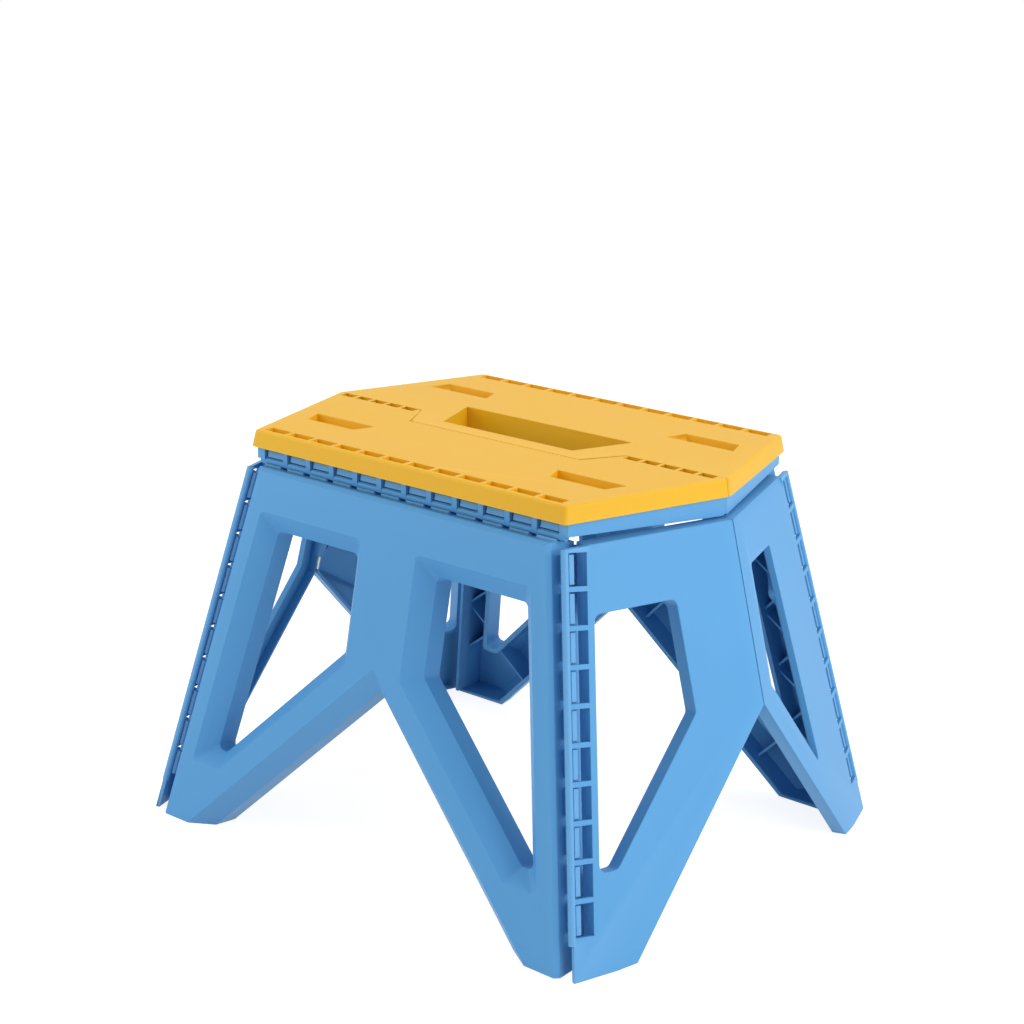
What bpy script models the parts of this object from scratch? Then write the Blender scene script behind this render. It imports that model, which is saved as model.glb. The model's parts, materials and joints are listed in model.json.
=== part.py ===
"""Folding step stool: two seat halves, two leg panels and four folding end panels.

Metres, +Z up, origin on the floor under the middle of the seat. The front is -Y and the
seat's long side runs along X. Every panel is a moulded shell, open at the back, and the
panels are held by hooks that clip round the rail of a ladder-shaped hinge strip.
"""
import math

import bmesh
import bpy
from mathutils import Matrix, Vector

for old_object in list(bpy.data.objects):
    bpy.data.objects.remove(old_object, do_unlink=True)

# Driving dimensions of the whole stool
SEAT_HEIGHT = 0.280
CORNER_DROP = 0.027
SEAT_HINGE_DROP = 0.0219
FRAME_EDGE_DROP = 0.0204
FRAME_SEAM_DROP = 0.0247
CORNER_HALF_LENGTH = 0.137
CORNER_HALF_DEPTH = 0.1227
FOOT_HALF_DEPTH = 0.1695
END_HALF_LENGTH = 0.1765
CLEARANCE = 0.0003

# Seat halves
SEAT_HALF_LENGTH = 0.1735
SEAT_EDGE_HALF_LENGTH = 0.1365
SEAT_HALF_DEPTH = 0.122
DECK_HEIGHT = 0.0117
DECK_DRAFT = 0.0021
DECK_WALL = 0.0025
DECK_SKIN = 0.003
FRAME_WALL = 0.0026
FRAME_LIP = 0.0025
FRAME_LIFT = 0.0005
SEAT_RIB = 0.002
SEAT_RIB_BAYS = 4
SEAT_RIB_MARGIN = 0.0055
TONGUE_REACH = 0.029
TONGUE_TAPER = 0.0155
TONGUE_MARGIN = 0.001
HAND_SLOT_FRONT_Y = -0.0145
HAND_SLOT_BACK_Y = 0.030
HAND_SLOT_FRONT_HALF = 0.057
HAND_SLOT_BACK_HALF = 0.0735
HAND_SLOT_LINER = 0.0025
TREAD_SLOT_LENGTH = 0.0475
TREAD_SLOT_WIDTH = 0.0145
TREAD_SLOT_DEPTH = 0.005
TREAD_SLOT_SLANT = 0.003
TREAD_SLOT_X = 0.108
TREAD_SLOT_Y = 0.067
EDGE_SLOT_COUNT = 12
EDGE_SLOT_LENGTH = 0.0185
EDGE_SLOT_WIDTH = 0.0078
EDGE_SLOT_DEPTH = 0.0027
EDGE_SLOT_INSET = 0.0093
SEAM_SLOT_LENGTH = 0.0117
SEAM_SLOT_WIDTH = 0.0070
SEAM_SLOT_DEPTH = 0.0027

# Ladder-and-hook hinges
RAIL_RADIUS = 0.0024
HOOK_BORE = 0.0030
HOOK_WALL = 0.0019
HOOK_TIP = 0.0046
HOOK_LIP = 0.0016
HOOK_FRONT = 0.0034
HOOK_LEAD_IN = math.radians(55)
HOOK_END_GAP = 0.0012
SEAT_WINDOWS = 12
SEAT_LADDER_HALF = 0.1305
SEAT_RUNG_WIDTH = 0.0042
SEAT_WINDOW_DEPTH = 0.0085
CORNER_WINDOWS = 10
CORNER_RUNG_WIDTH = 0.0032
CORNER_LADDER_LENGTH = 0.237
CORNER_WINDOW_WIDTH = 0.0124
CORNER_HOOK_TIP = 0.0034
CORNER_HOOK_LIP = 0.0004
CORNER_HOOK_START = math.radians(10)
CORNER_ARM_TURN = math.radians(30)
CORNER_ARM_DROP = 0.009

# Leg panels
LEG_HINGE_INSET = 0.0067
LEG_FACE = 0.0107
LEG_DEPTH = 0.026
LEG_SKIN = 0.003
LEG_WALL = 0.0026
LEG_SIDE_FLANGE = 0.0055
LEG_EDGE = 0.0028
LEG_BEVEL = 0.011
LEG_TOP_BEVEL = 0.0127
LEG_TOP_DROP = 0.0036
LEG_SIDE_SETBACK = 0.0092
LEG_COLUMN_HALF = 0.024
LEG_STRUT_FACE = 0.015
LEG_POST_FACE = 0.0144
LEG_TOP_RAIL = 0.0293
LEG_FOOT_HEIGHT = 0.045
LEG_FOOT_WIDTH = 0.026
LEG_NOTCH_DROP = 0.1146
LEG_RIB = 0.0018
LEG_RIB_SETBACK = 0.006
LEG_RAIL_BAYS = 4
LEG_POST_BAYS = 8
LEG_STRUT_RIB_DROPS = (0.1375, 0.1834, 0.2292)
LEG_STRUT_RIB_BACK = 0.0104
LEG_CORNER_ROUND = 0.004

# End panels
END_TOP_RISE = 0.0008
END_FACE = 0.0020
END_DEPTH = 0.0112
END_SKIN = 0.0028
END_WALL = 0.0025
END_BAND = 0.0124
END_TOP_BAND = 0.0062
END_BAND_DROP = 0.0016
END_FOLD_LENGTH = 0.1193
END_FOOT_REACH = 0.048
END_POST = 0.0051
END_TOP_RAIL = 0.0423
END_FOLD_RAIL = 0.0553
END_LOWER_RAIL = 0.046
END_FOOT_HEIGHT = 0.062
END_RIB = 0.0018
END_RIB_SETBACK = 0.0028
END_CORNER_ROUND = 0.005
MATE_POST = 0.059
MATE_TOP_RAIL = 0.033
MATE_FOLD_RAIL = 0.0165
MATE_LOWER_RAIL = 0.0177
MATE_CORNER_ROUND = 0.002
MATE_RIB_BAYS = 4
FOLD_GAP = 0.0006

# Pins and screws
PIN_RADIUS = 0.0015
PIN_BORE = 0.0019
KNUCKLE_RADIUS = 0.0040
KNUCKLE_RELIEF = 0.0047
KNUCKLE_LENGTH = 0.0138
KNUCKLE_GAP = 0.0010
SEAT_KNUCKLES = 5
SEAT_ROW_MARGIN = 0.008
FOLD_KNUCKLES = 3
FOLD_KNUCKLE_LENGTH = 0.012
FOLD_KNUCKLE_PITCH = 0.038
FOLD_PIN_MARGIN = 0.004
SCREW_INNER_X = 0.063
SCREW_END_MARGIN = 0.0265
SCREW_Y = (0.092, 0.038)
SCREW_SHANK = 0.0015
SCREW_BORE = 0.0019
SCREW_HEAD = 0.0034
SCREW_HEAD_HEIGHT = 0.0018
SCREW_LENGTH = 0.0143
BOSS_RADIUS = 0.0050
BOSS_LIFT = 0.006

# Levels, axes and lengths that follow from the driving dimensions
HINGE_LEVEL = SEAT_HEIGHT - CORNER_DROP
APEX = HINGE_LEVEL * FOOT_HALF_DEPTH / (FOOT_HALF_DEPTH - CORNER_HALF_DEPTH)
TILT = math.atan2(FOOT_HALF_DEPTH - CORNER_HALF_DEPTH, HINGE_LEVEL)
SLOPE_TO_APEX = (APEX - HINGE_LEVEL) / math.cos(TILT)
SPLAY = CORNER_HALF_LENGTH / SLOPE_TO_APEX
LEG_AXIS_Z = SEAT_HEIGHT - SEAT_HINGE_DROP
LEG_AXIS_Y = (CORNER_HALF_DEPTH - (LEG_AXIS_Z - HINGE_LEVEL) * math.tan(TILT)
              - LEG_HINGE_INSET / math.cos(TILT))
LEG_CORNER_Y = -(LEG_AXIS_Z - HINGE_LEVEL) / math.cos(TILT) - LEG_HINGE_INSET * math.tan(TILT)
SEAT_AXIS_Z = SEAT_HEIGHT - FRAME_SEAM_DROP - FRAME_LIFT
KNUCKLE_PITCH = KNUCKLE_LENGTH + KNUCKLE_GAP
SEAT_ROW_LENGTH = SEAT_KNUCKLES * KNUCKLE_PITCH
SEAT_ROW_START = SEAT_HALF_LENGTH - SEAT_ROW_MARGIN - SEAT_ROW_LENGTH
TONGUE_BACK_HALF = SEAT_ROW_START - TONGUE_MARGIN
TONGUE_FRONT_HALF = TONGUE_BACK_HALF - TONGUE_TAPER
SEAT_RIB_PITCH = (SEAT_HALF_LENGTH - SEAT_RIB_MARGIN) / SEAT_RIB_BAYS
SCREW_X = (SCREW_INNER_X, SEAT_HALF_LENGTH - SCREW_END_MARGIN)
CORNER = Vector((CORNER_HALF_LENGTH, -CORNER_HALF_DEPTH, HINGE_LEVEL))
END_UP = (Vector((0, 0, APEX)) - CORNER).normalized()
END_OUT = END_UP.cross(Vector((END_HALF_LENGTH, 0, HINGE_LEVEL)) - CORNER).normalized() * -1
END_ALONG = END_UP.cross(END_OUT)
BIG = 1.0
OVERSHOOT = 0.001
CUT_DEPTH = 0.005
BORE_OVERRUN = 0.1
ROUND_STEPS = 4
BARREL_SIDES = 8
ROUND_SIDES = 12


def material(name, colour, roughness, metallic=0.0):
    """A plain Principled finish in the part's own colour."""
    made = bpy.data.materials.new(name)
    made.use_nodes = True
    shader = made.node_tree.nodes["Principled BSDF"]
    shader.inputs["Base Color"].default_value = (*colour, 1.0)
    shader.inputs["Roughness"].default_value = roughness
    shader.inputs["Metallic"].default_value = metallic
    return made


def solid_from(bm):
    """Turn a bmesh into a working object at the origin, faces pointing out."""
    bmesh.ops.recalc_face_normals(bm, faces=bm.faces)
    mesh = bpy.data.meshes.new("work")
    bm.to_mesh(mesh)
    bm.free()
    made = bpy.data.objects.new("work", mesh)
    bpy.context.collection.objects.link(made)
    return made


def add_loft(bm, rings):
    """Add a closed solid through rings of points, one above the other."""
    loops = [[bm.verts.new(point) for point in ring] for ring in rings]
    bm.faces.new(loops[0])
    bm.faces.new(loops[-1])
    for low, high in zip(loops, loops[1:]):
        for i in range(len(low)):
            j = (i + 1) % len(low)
            bm.faces.new((low[i], low[j], high[j], high[i]))


def loft(*rings):
    bm = bmesh.new()
    add_loft(bm, rings)
    return solid_from(bm)


def lofts(groups):
    """Several separate closed solids in one working object."""
    bm = bmesh.new()
    for rings in groups:
        add_loft(bm, rings)
    return solid_from(bm)


def level(points, z):
    """A flat ring of (x, y) points at height z."""
    return [Vector((x, y, z)) for x, y in points]


def box_rings(low, high):
    corners = ((low[0], low[1]), (high[0], low[1]), (high[0], high[1]), (low[0], high[1]))
    return (level(corners, low[2]), level(corners, high[2]))


def bar_rings(start, end, radius, sides=BARREL_SIDES):
    """Two rings of a straight bar with a regular cross-section."""
    start, end = Vector(start), Vector(end)
    along = (end - start).normalized()
    across = along.orthogonal().normalized()
    other = along.cross(across)
    turns = [2 * math.pi * (i + 0.5) / sides for i in range(sides)]
    spokes = [(across * math.cos(t) + other * math.sin(t)) * radius for t in turns]
    return ([start + s for s in spokes], [end + s for s in spokes])


def boolean(target, tool, operation):
    """Combine two working objects and keep only the result in target."""
    modifier = target.modifiers.new("combine", "BOOLEAN")
    modifier.operation = operation
    modifier.solver = "EXACT"
    modifier.use_self = True
    modifier.object = tool
    result = bpy.data.meshes.new_from_object(
        target.evaluated_get(bpy.context.evaluated_depsgraph_get()))
    target.modifiers.clear()
    target.data = result
    bpy.data.objects.remove(tool, do_unlink=True)
    return target


def cut(target, tool):
    return boolean(target, tool, "DIFFERENCE")


def join(target, tool):
    return boolean(target, tool, "UNION")


def inset(points, distances):
    """Move each edge of a counter-clockwise outline inwards and meet the edges again.

    Edge i runs from point i to point i + 1 and moves by distances[i].
    """
    lines = []
    for i, point in enumerate(points):
        start = Vector(point)
        along = (Vector(points[(i + 1) % len(points)]) - start).normalized()
        inward = Vector((-along.y, along.x))
        lines.append((start + inward * distances[i], along))
    corners = []
    for i, (start, along) in enumerate(lines):
        before, before_along = lines[i - 1]
        turn = before_along.x * along.y - before_along.y * along.x
        gap = start - before
        reach = (gap.x * along.y - gap.y * along.x) / turn
        corners.append(before + before_along * reach)
    return corners


def rounded(points, radius):
    """Replace each corner of an outline by an arc of points."""
    result = []
    for i, corner in enumerate(points):
        corner = Vector(corner)
        before = (Vector(points[i - 1]) - corner).normalized()
        after = (Vector(points[(i + 1) % len(points)]) - corner).normalized()
        half = before.angle(after) / 2
        back = radius / math.tan(half)
        centre = corner + (before + after).normalized() * (radius / math.sin(half))
        first = corner + before * back - centre
        last = corner + after * back - centre
        sweep = first.angle_signed(last)
        for step in range(ROUND_STEPS + 1):
            turn = Matrix.Rotation(-sweep * step / ROUND_STEPS, 2)
            result.append(centre + turn @ first)
    return result


def rib_rings(start, end, thickness, low, high):
    """A thin upright wall between two plan points."""
    start, end = Vector(start), Vector(end)
    side = (end - start).normalized().orthogonal() * thickness / 2
    plan = (start - side, end - side, end + side, start + side)
    return (level(plan, low), level(plan, high))


def hook_end(tip, lip, start=0.0):
    """Far part of a hook's cross-section, from behind the rail to its tip and back again.

    Points are (towards the rail's far side, towards the back), measured from the rail's axis.
    The hook starts at an angle from straight behind the rail.
    """
    outer = HOOK_BORE + HOOK_WALL
    turns = [start + (math.pi / 2 - start) * i / ROUND_STEPS for i in range(ROUND_STEPS + 1)]
    inside = [(HOOK_BORE * math.sin(t), HOOK_BORE * math.cos(t)) for t in turns]
    outside = [(outer * math.sin(t), outer * math.cos(t)) for t in turns[-2::-1]]
    reach = HOOK_BORE + tip
    return inside + [(HOOK_BORE, -lip), (reach, -lip), (reach, HOOK_WALL)] + outside


def cradle_profile():
    """Hook that carries the rail from below, passes behind it and shows its tip above it."""
    outer = HOOK_BORE + HOOK_WALL
    sweep = HOOK_LEAD_IN + math.pi / 2
    turns = [sweep * i / (2 * ROUND_STEPS) - HOOK_LEAD_IN for i in range(2 * ROUND_STEPS)]
    inside = [(-HOOK_BORE * math.cos(t), HOOK_BORE * math.sin(t)) for t in turns]
    quarter = [math.pi / 2 * i / ROUND_STEPS for i in range(1, ROUND_STEPS + 1)]
    outside = [(-outer * math.sin(t), outer * math.cos(t)) for t in quarter]
    front = [(-outer, -HOOK_FRONT), (inside[0][0], -HOOK_FRONT)]
    return inside + hook_end(HOOK_TIP, HOOK_LIP) + outside + front


def hook_rings(profile, origin, far, back, along, width):
    """Sweep a hook profile along the hinge axis, centred on origin."""
    rings = []
    for end in (-width / 2, width / 2):
        rings.append([origin + far * f + back * b + along * end for f, b in profile])
    return rings


# Leg panels: x across, y up the slope, z outwards, origin on the hinge to the seat

LEG_BACK = LEG_FACE - LEG_DEPTH


def leg_floor(z):
    """Height along the slope where the panel meets the floor, at depth z."""
    return -(LEG_AXIS_Z + z * math.sin(TILT)) / math.cos(TILT)


def leg_side(y):
    """Half width of the panel at height y."""
    axis = CORNER_HALF_LENGTH - SPLAY * (y - LEG_CORNER_Y)
    return axis - LEG_SIDE_SETBACK * math.hypot(1, SPLAY)


LEG_FACE_FLOOR = leg_floor(LEG_FACE)
LEG_STRUT_SLOPE = (leg_side(LEG_FACE_FLOOR) - LEG_FOOT_WIDTH) / (-LEG_NOTCH_DROP - LEG_FACE_FLOOR)


def leg_outline(z, edge, bevel):
    """Outline at depth z, drawn in by edge at the top and sides and grown by bevel in the notch."""
    top = -LEG_TOP_DROP - edge
    floor = leg_floor(z)
    side_edge = edge * math.hypot(1, SPLAY)
    notch = -LEG_NOTCH_DROP - bevel * math.hypot(1, LEG_STRUT_SLOPE) / LEG_STRUT_SLOPE
    heel = (notch - floor) * LEG_STRUT_SLOPE
    right = ((0, notch), (heel, floor), (leg_side(floor) - side_edge, floor),
             (leg_side(top) - side_edge, top))
    left = tuple((-x, y) for x, y in reversed(right[1:]))
    return left + right


def leg_opening(side, bevel):
    """One opening's outline, bevel further in than where its slope leaves the face."""
    floor = LEG_FACE_FLOOR
    foot = leg_side(floor)
    bay = ((0, -LEG_TOP_DROP), (0, -LEG_NOTCH_DROP), (foot - LEG_FOOT_WIDTH, floor), (foot, floor),
           (leg_side(-LEG_TOP_DROP), -LEG_TOP_DROP))
    rails = (LEG_COLUMN_HALF, LEG_STRUT_FACE, LEG_FOOT_HEIGHT, LEG_POST_FACE, LEG_TOP_RAIL)
    slopes = (1, 1, 1, 1, LEG_TOP_BEVEL / LEG_BEVEL)
    corners = inset(bay, [rail + bevel * slope for rail, slope in zip(rails, slopes)])
    return [(side * c.x, c.y) for c in corners][::side]


def zigzag(corners):
    """Pairs of neighbouring points along a chain."""
    return list(zip(corners, corners[1:]))


def leg_ribs():
    """Zigzags along the top rail and down the posts, and walls across the struts."""
    low = LEG_BACK + LEG_RIB_SETBACK
    rail_low = -LEG_TOP_DROP - LEG_TOP_RAIL - LEG_TOP_BEVEL
    rail_levels = (-LEG_TOP_DROP, rail_low)
    rail_reach = leg_side(-LEG_TOP_DROP)
    post_pitch = (rail_low - LEG_FACE_FLOOR - LEG_FOOT_HEIGHT) / LEG_POST_BAYS
    post_widths = (0, LEG_POST_FACE + LEG_BEVEL)
    strut = LEG_STRUT_FACE + LEG_BEVEL
    ribs = []
    for side in (-1, 1):
        ribs += zigzag([(side * rail_reach * i / LEG_RAIL_BAYS, rail_levels[i % 2])
                        for i in range(LEG_RAIL_BAYS + 1)])
        post_levels = [rail_low - post_pitch * i for i in range(LEG_POST_BAYS + 1)]
        ribs += zigzag([(side * (leg_side(y) - post_widths[i % 2]), y)
                        for i, y in enumerate(post_levels)])
        for drop in LEG_STRUT_RIB_DROPS:
            middle = (drop - LEG_NOTCH_DROP) * LEG_STRUT_SLOPE
            ribs.append(((side * (middle - LEG_STRUT_RIB_BACK), -drop - LEG_STRUT_RIB_BACK),
                         (side * (middle + strut), -drop + strut)))
    return [rib_rings(start, end, LEG_RIB, low, LEG_FACE) for start, end in ribs]


def corner_stations():
    """Middle of each window, measured down the corner axis from the hinge level."""
    pitch = CORNER_LADDER_LENGTH / CORNER_WINDOWS
    return [pitch * (i + 0.5) for i in range(CORNER_WINDOWS)], pitch


def leg_hooks():
    groups = []
    pitch = 2 * SEAT_LADDER_HALF / SEAT_WINDOWS
    width = pitch - SEAT_RUNG_WIDTH - 2 * HOOK_END_GAP
    profile = cradle_profile()
    for i in range(SEAT_WINDOWS):
        origin = Vector((-SEAT_LADDER_HALF + pitch * (i + 0.5), 0, 0))
        groups.append(hook_rings(profile, origin, Vector((0, 1, 0)), Vector((0, 0, -1)),
                                 Vector((1, 0, 0)), width))
    return lofts(groups)


def leg_corner_hooks():
    """Arms from both side walls, and the hooks on them that pass behind the corner rails."""
    stations, pitch = corner_stations()
    width = pitch - CORNER_RUNG_WIDTH - 2 * HOOK_END_GAP
    arm_half = width / 2 - CLEARANCE
    profile = hook_end(CORNER_HOOK_TIP, CORNER_HOOK_LIP, CORNER_HOOK_START)
    arms = []
    hooks = []
    for side in (-1, 1):
        def in_leg(direction):
            """A direction at the front right corner in the leg's axes, turned to this side."""
            x, y, z = direction
            return Vector((side * x, y * math.sin(TILT) + z * math.cos(TILT),
                           z * math.sin(TILT) - y * math.cos(TILT)))

        down = in_leg(-END_UP)
        inward = in_leg(-END_OUT)
        beside = in_leg(END_ALONG)
        to_wall = Vector((down.y, -down.x, 0)) * side
        arm_start = to_wall * (LEG_SIDE_SETBACK + LEG_WALL / 2) - Vector((0, 0, CORNER_ARM_DROP))
        arm_end = beside * math.sin(CORNER_ARM_TURN) + inward * math.cos(CORNER_ARM_TURN)
        arm_end *= HOOK_BORE + HOOK_WALL / 2
        thick = (arm_end - arm_start).cross(down).normalized() * HOOK_WALL / 2
        section = (arm_start - thick, arm_end - thick, arm_end + thick, arm_start + thick)
        start = Vector((side * CORNER_HALF_LENGTH, LEG_CORNER_Y, LEG_HINGE_INSET))
        for station in stations:
            origin = start + down * station
            hooks.append(hook_rings(profile, origin, beside, inward, down, width))
            arms.append([[origin + corner + down * end for corner in section]
                         for end in (-arm_half, arm_half)])
    return join(lofts(arms), lofts(hooks))


def leg_flanges():
    """Strips that carry the side walls further back, behind the windows of the end panels."""
    low = LEG_BACK - LEG_SIDE_FLANGE
    middle = (LEG_WALL / 2 + CLEARANCE) * math.hypot(1, SPLAY)
    ends = (-LEG_TOP_DROP - LEG_WALL, leg_floor(low) + LEG_WALL)
    strips = []
    for side in (-1, 1):
        start, end = [(side * (leg_side(y) - middle), y) for y in ends]
        strips.append(rib_rings(start, end, LEG_WALL, low, LEG_BACK + LEG_WALL))
    return lofts(strips)


def leg_mesh():
    body = loft(level(leg_outline(LEG_FACE, LEG_EDGE, 0), LEG_FACE),
                level(leg_outline(LEG_FACE - LEG_EDGE, 0, LEG_EDGE), LEG_FACE - LEG_EDGE),
                level(leg_outline(LEG_FACE - LEG_BEVEL, 0, LEG_BEVEL), LEG_FACE - LEG_BEVEL),
                level(leg_outline(LEG_BACK, 0, LEG_BEVEL), LEG_BACK))
    slant_wall = LEG_WALL * math.sqrt(2)
    ceiling = LEG_FACE - LEG_SKIN

    def hollow_ring(z, bevel):
        return level(leg_outline_lifted(z, LEG_WALL, bevel), z)

    hollow = loft(hollow_ring(ceiling, LEG_SKIN - slant_wall),
                  hollow_ring(LEG_FACE - LEG_BEVEL, LEG_BEVEL - slant_wall),
                  hollow_ring(LEG_BACK - OVERSHOOT, LEG_BEVEL - slant_wall))
    for side in (-1, 1):
        def opening(z, bevel, radius):
            return level(rounded(leg_opening(side, bevel), radius), z)

        keep = loft(opening(LEG_FACE + OVERSHOOT, -OVERSHOOT - slant_wall, LEG_CORNER_ROUND),
                    opening(LEG_FACE - LEG_BEVEL, LEG_BEVEL - slant_wall, LEG_CORNER_ROUND),
                    opening(LEG_BACK - 2 * OVERSHOOT, LEG_BEVEL - slant_wall, LEG_CORNER_ROUND))
        hollow = cut(hollow, keep)
    hollow = cut(hollow, lofts(leg_ribs()))
    body = cut(body, hollow)
    for side in (-1, 1):
        def hole(z, bevel):
            return level(rounded(leg_opening(side, bevel), LEG_CORNER_ROUND), z)

        body = cut(body, loft(hole(LEG_FACE + OVERSHOOT, -OVERSHOOT),
                              hole(LEG_FACE - LEG_BEVEL, LEG_BEVEL),
                              hole(LEG_BACK - OVERSHOOT, LEG_BEVEL)))
    body = join(body, leg_flanges())
    body = join(body, leg_hooks())
    return join(body, leg_corner_hooks()).data


def leg_outline_lifted(z, wall, bevel):
    """The hollow's outline: drawn in by the wall, with a closed sole over the floor."""
    outline = leg_outline(z, wall, bevel)
    floor = leg_floor(z)
    lifted = []
    for x, y in outline:
        if y == floor:
            toward = -1 if abs(x) == max(abs(p[0]) for p in outline) else 1
            slope = SPLAY if toward < 0 else LEG_STRUT_SLOPE
            x -= math.copysign(wall * slope, x)
            y += wall
        lifted.append((x, y))
    return lifted


# End panels: x away from the corner axis, y up the axis, z outwards, origin on the axis

END_BACK = END_FACE - END_DEPTH


def end_floor(x, z):
    """Height along the axis where the panel meets the floor."""
    return -(CORNER.z + x * END_ALONG.z + z * END_OUT.z) / END_UP.z


def end_top(x, z):
    """Height along the axis of the panel's level top."""
    return (END_TOP_RISE - x * END_ALONG.z - z * END_OUT.z) / END_UP.z


def end_fold(y, z):
    """Distance from the axis to the fold's middle plane."""
    return -(FOLD_GAP / 2 + CORNER.y + y * END_UP.y + z * END_OUT.y) / END_ALONG.y


def end_tip(z):
    """Point where the top meets the fold."""
    top_slope = END_ALONG.z / END_UP.z
    fold_slope = END_UP.y / END_ALONG.y
    x = (end_fold(0, z) - fold_slope * end_top(0, z)) / (1 - fold_slope * top_slope)
    return x, end_top(x, z)


def end_outline(z):
    start = RAIL_RADIUS + CORNER_WINDOW_WIDTH
    knee_y = end_tip(END_FACE)[1] - END_FOLD_LENGTH
    return ((start, end_top(start, z)), (start, end_floor(start, z)),
            (END_FOOT_REACH, end_floor(END_FOOT_REACH, z)), (end_fold(knee_y, z), knee_y),
            end_tip(z))


def end_opening(mate, grow):
    """One opening's outline; the mate panel has its own beside the fold, without a foot edge."""
    outline = end_outline(END_FACE)
    rails = (END_POST, END_FOOT_HEIGHT, END_LOWER_RAIL, END_FOLD_RAIL, END_TOP_RAIL)
    radius = END_CORNER_ROUND
    if mate:
        top, _, foot, knee, tip = outline
        slope = (knee[1] - foot[1]) / (knee[0] - foot[0])
        outline = (top, (top[0], foot[1] - (foot[0] - top[0]) * slope), knee, tip)
        rails = (MATE_POST, MATE_LOWER_RAIL, MATE_FOLD_RAIL, MATE_TOP_RAIL)
        radius = MATE_CORNER_ROUND
    corners = inset(outline, [rail - grow for rail in rails])
    return rounded([(c.x, c.y) for c in corners], radius)


def end_fold_point(y, z):
    """Point on the fold's middle plane in panel coordinates."""
    return Vector((end_fold(y, z) + FOLD_GAP / 2 / END_ALONG.y, y, z))


FOLD_AXIS_Z = END_BACK - PIN_RADIUS / 3
FOLD_TOP_Y = end_outline(END_FACE)[4][1] - FOLD_PIN_MARGIN
FOLD_LOW_Y = end_outline(END_FACE)[3][1] + FOLD_PIN_MARGIN


def fold_knuckles(radius, extra):
    """Barrels of the fold hinge, on the fold's inner edge."""
    groups = []
    middle = (FOLD_TOP_Y + FOLD_LOW_Y) / 2
    for i in range(FOLD_KNUCKLES):
        centre = middle + (i - (FOLD_KNUCKLES - 1) / 2) * FOLD_KNUCKLE_PITCH
        half = FOLD_KNUCKLE_LENGTH / 2 + extra
        groups.append(bar_rings(end_fold_point(centre + half, FOLD_AXIS_Z),
                                end_fold_point(centre - half, FOLD_AXIS_Z), radius))
    return lofts(groups)


def fold_bar(radius, extra):
    return bar_rings(end_fold_point(FOLD_TOP_Y + extra, FOLD_AXIS_Z),
                     end_fold_point(FOLD_LOW_Y - extra, FOLD_AXIS_Z), radius)


def end_ladder():
    """Rail, rungs and foot of the hinge strip on the corner edge."""
    inner = RAIL_RADIUS + CORNER_WINDOW_WIDTH + END_WALL
    low_face = END_FACE - END_SKIN
    foot = -CORNER_LADDER_LENGTH

    def strip(z):
        return level(((0, end_top(0, z)), (0, end_floor(0, z)), (inner, end_floor(inner, z)),
                      (inner, end_top(inner, z))), z)

    plate = loft(strip(low_face), strip(END_FACE))
    stations, pitch = corner_stations()
    half = (pitch - CORNER_RUNG_WIDTH) / 2
    windows = []
    for station in stations:
        low = (0, -station - half, low_face - OVERSHOOT)
        high = (RAIL_RADIUS + CORNER_WINDOW_WIDTH, -station + half, END_FACE + OVERSHOOT)
        windows.append(box_rings(low, high))
    plate = cut(plate, lofts(windows))
    rail = loft(*bar_rings((0, end_top(0, END_FACE), 0), (0, foot - CORNER_RUNG_WIDTH, 0),
                           RAIL_RADIUS, ROUND_SIDES))
    return join(plate, rail)


def end_shell():
    """The panel's outside: a face with a sloping band along its free edges."""
    band_level = END_FACE - END_BAND_DROP
    face = inset(end_outline(END_FACE), (0, 0, END_BAND, END_BAND, END_TOP_BAND))
    return loft(level(face, END_FACE), level(end_outline(band_level), band_level),
                level(end_outline(END_BACK), END_BACK))


def end_ribs(mate):
    """Stiffening walls inside the panel."""
    top_left, _, foot, knee, tip = [Vector(p) for p in end_outline(END_BACK)]
    if mate:
        pitch = (top_left.y - foot.y) / MATE_RIB_BAYS
        lines = zigzag([top_left + Vector((i % 2 * MATE_POST, -pitch * i))
                        for i in range(MATE_RIB_BAYS + 1)])
    else:
        centre = Vector((top_left.x + END_TOP_RAIL, -END_TOP_RAIL))
        strut_middle = (foot + knee) / 2
        lines = ((top_left, centre), (tip, centre), (knee, (tip + top_left) / 2),
                 (knee, strut_middle - Vector((END_LOWER_RAIL, 0))), (foot, strut_middle))
    low = END_BACK + END_RIB_SETBACK
    return lofts([rib_rings(start, end, END_RIB, low, END_FACE) for start, end in lines])


def end_mesh(mate):
    """One end panel; the mate carries the fold's barrels and has its opening beside the fold."""
    body = end_shell()
    walls = (END_POST, END_WALL, END_WALL, END_WALL, END_WALL)

    def hollow_ring(z):
        return level(inset(end_outline(z), walls), z)

    hollow = loft(hollow_ring(END_FACE - END_BAND_DROP - END_SKIN), hollow_ring(END_BACK - OVERSHOOT))
    if not mate:
        hollow = cut(hollow, loft(level(end_opening(mate, END_WALL), END_FACE),
                                  level(end_opening(mate, END_WALL), END_BACK - 2 * OVERSHOOT)))
    hollow = cut(hollow, end_ribs(mate))
    body = cut(body, hollow)
    body = cut(body, loft(level(end_opening(mate, 0), END_FACE + OVERSHOOT),
                          level(end_opening(mate, 0), END_BACK - OVERSHOOT)))
    if mate:
        body = join(body, fold_knuckles(KNUCKLE_RADIUS, 0))
    else:
        body = cut(body, fold_knuckles(KNUCKLE_RELIEF, KNUCKLE_GAP / 2))
    body = cut(body, loft(*fold_bar(PIN_BORE, BORE_OVERRUN)))
    return join(body, end_ladder()).data


# Seat halves: world coordinates

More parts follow.
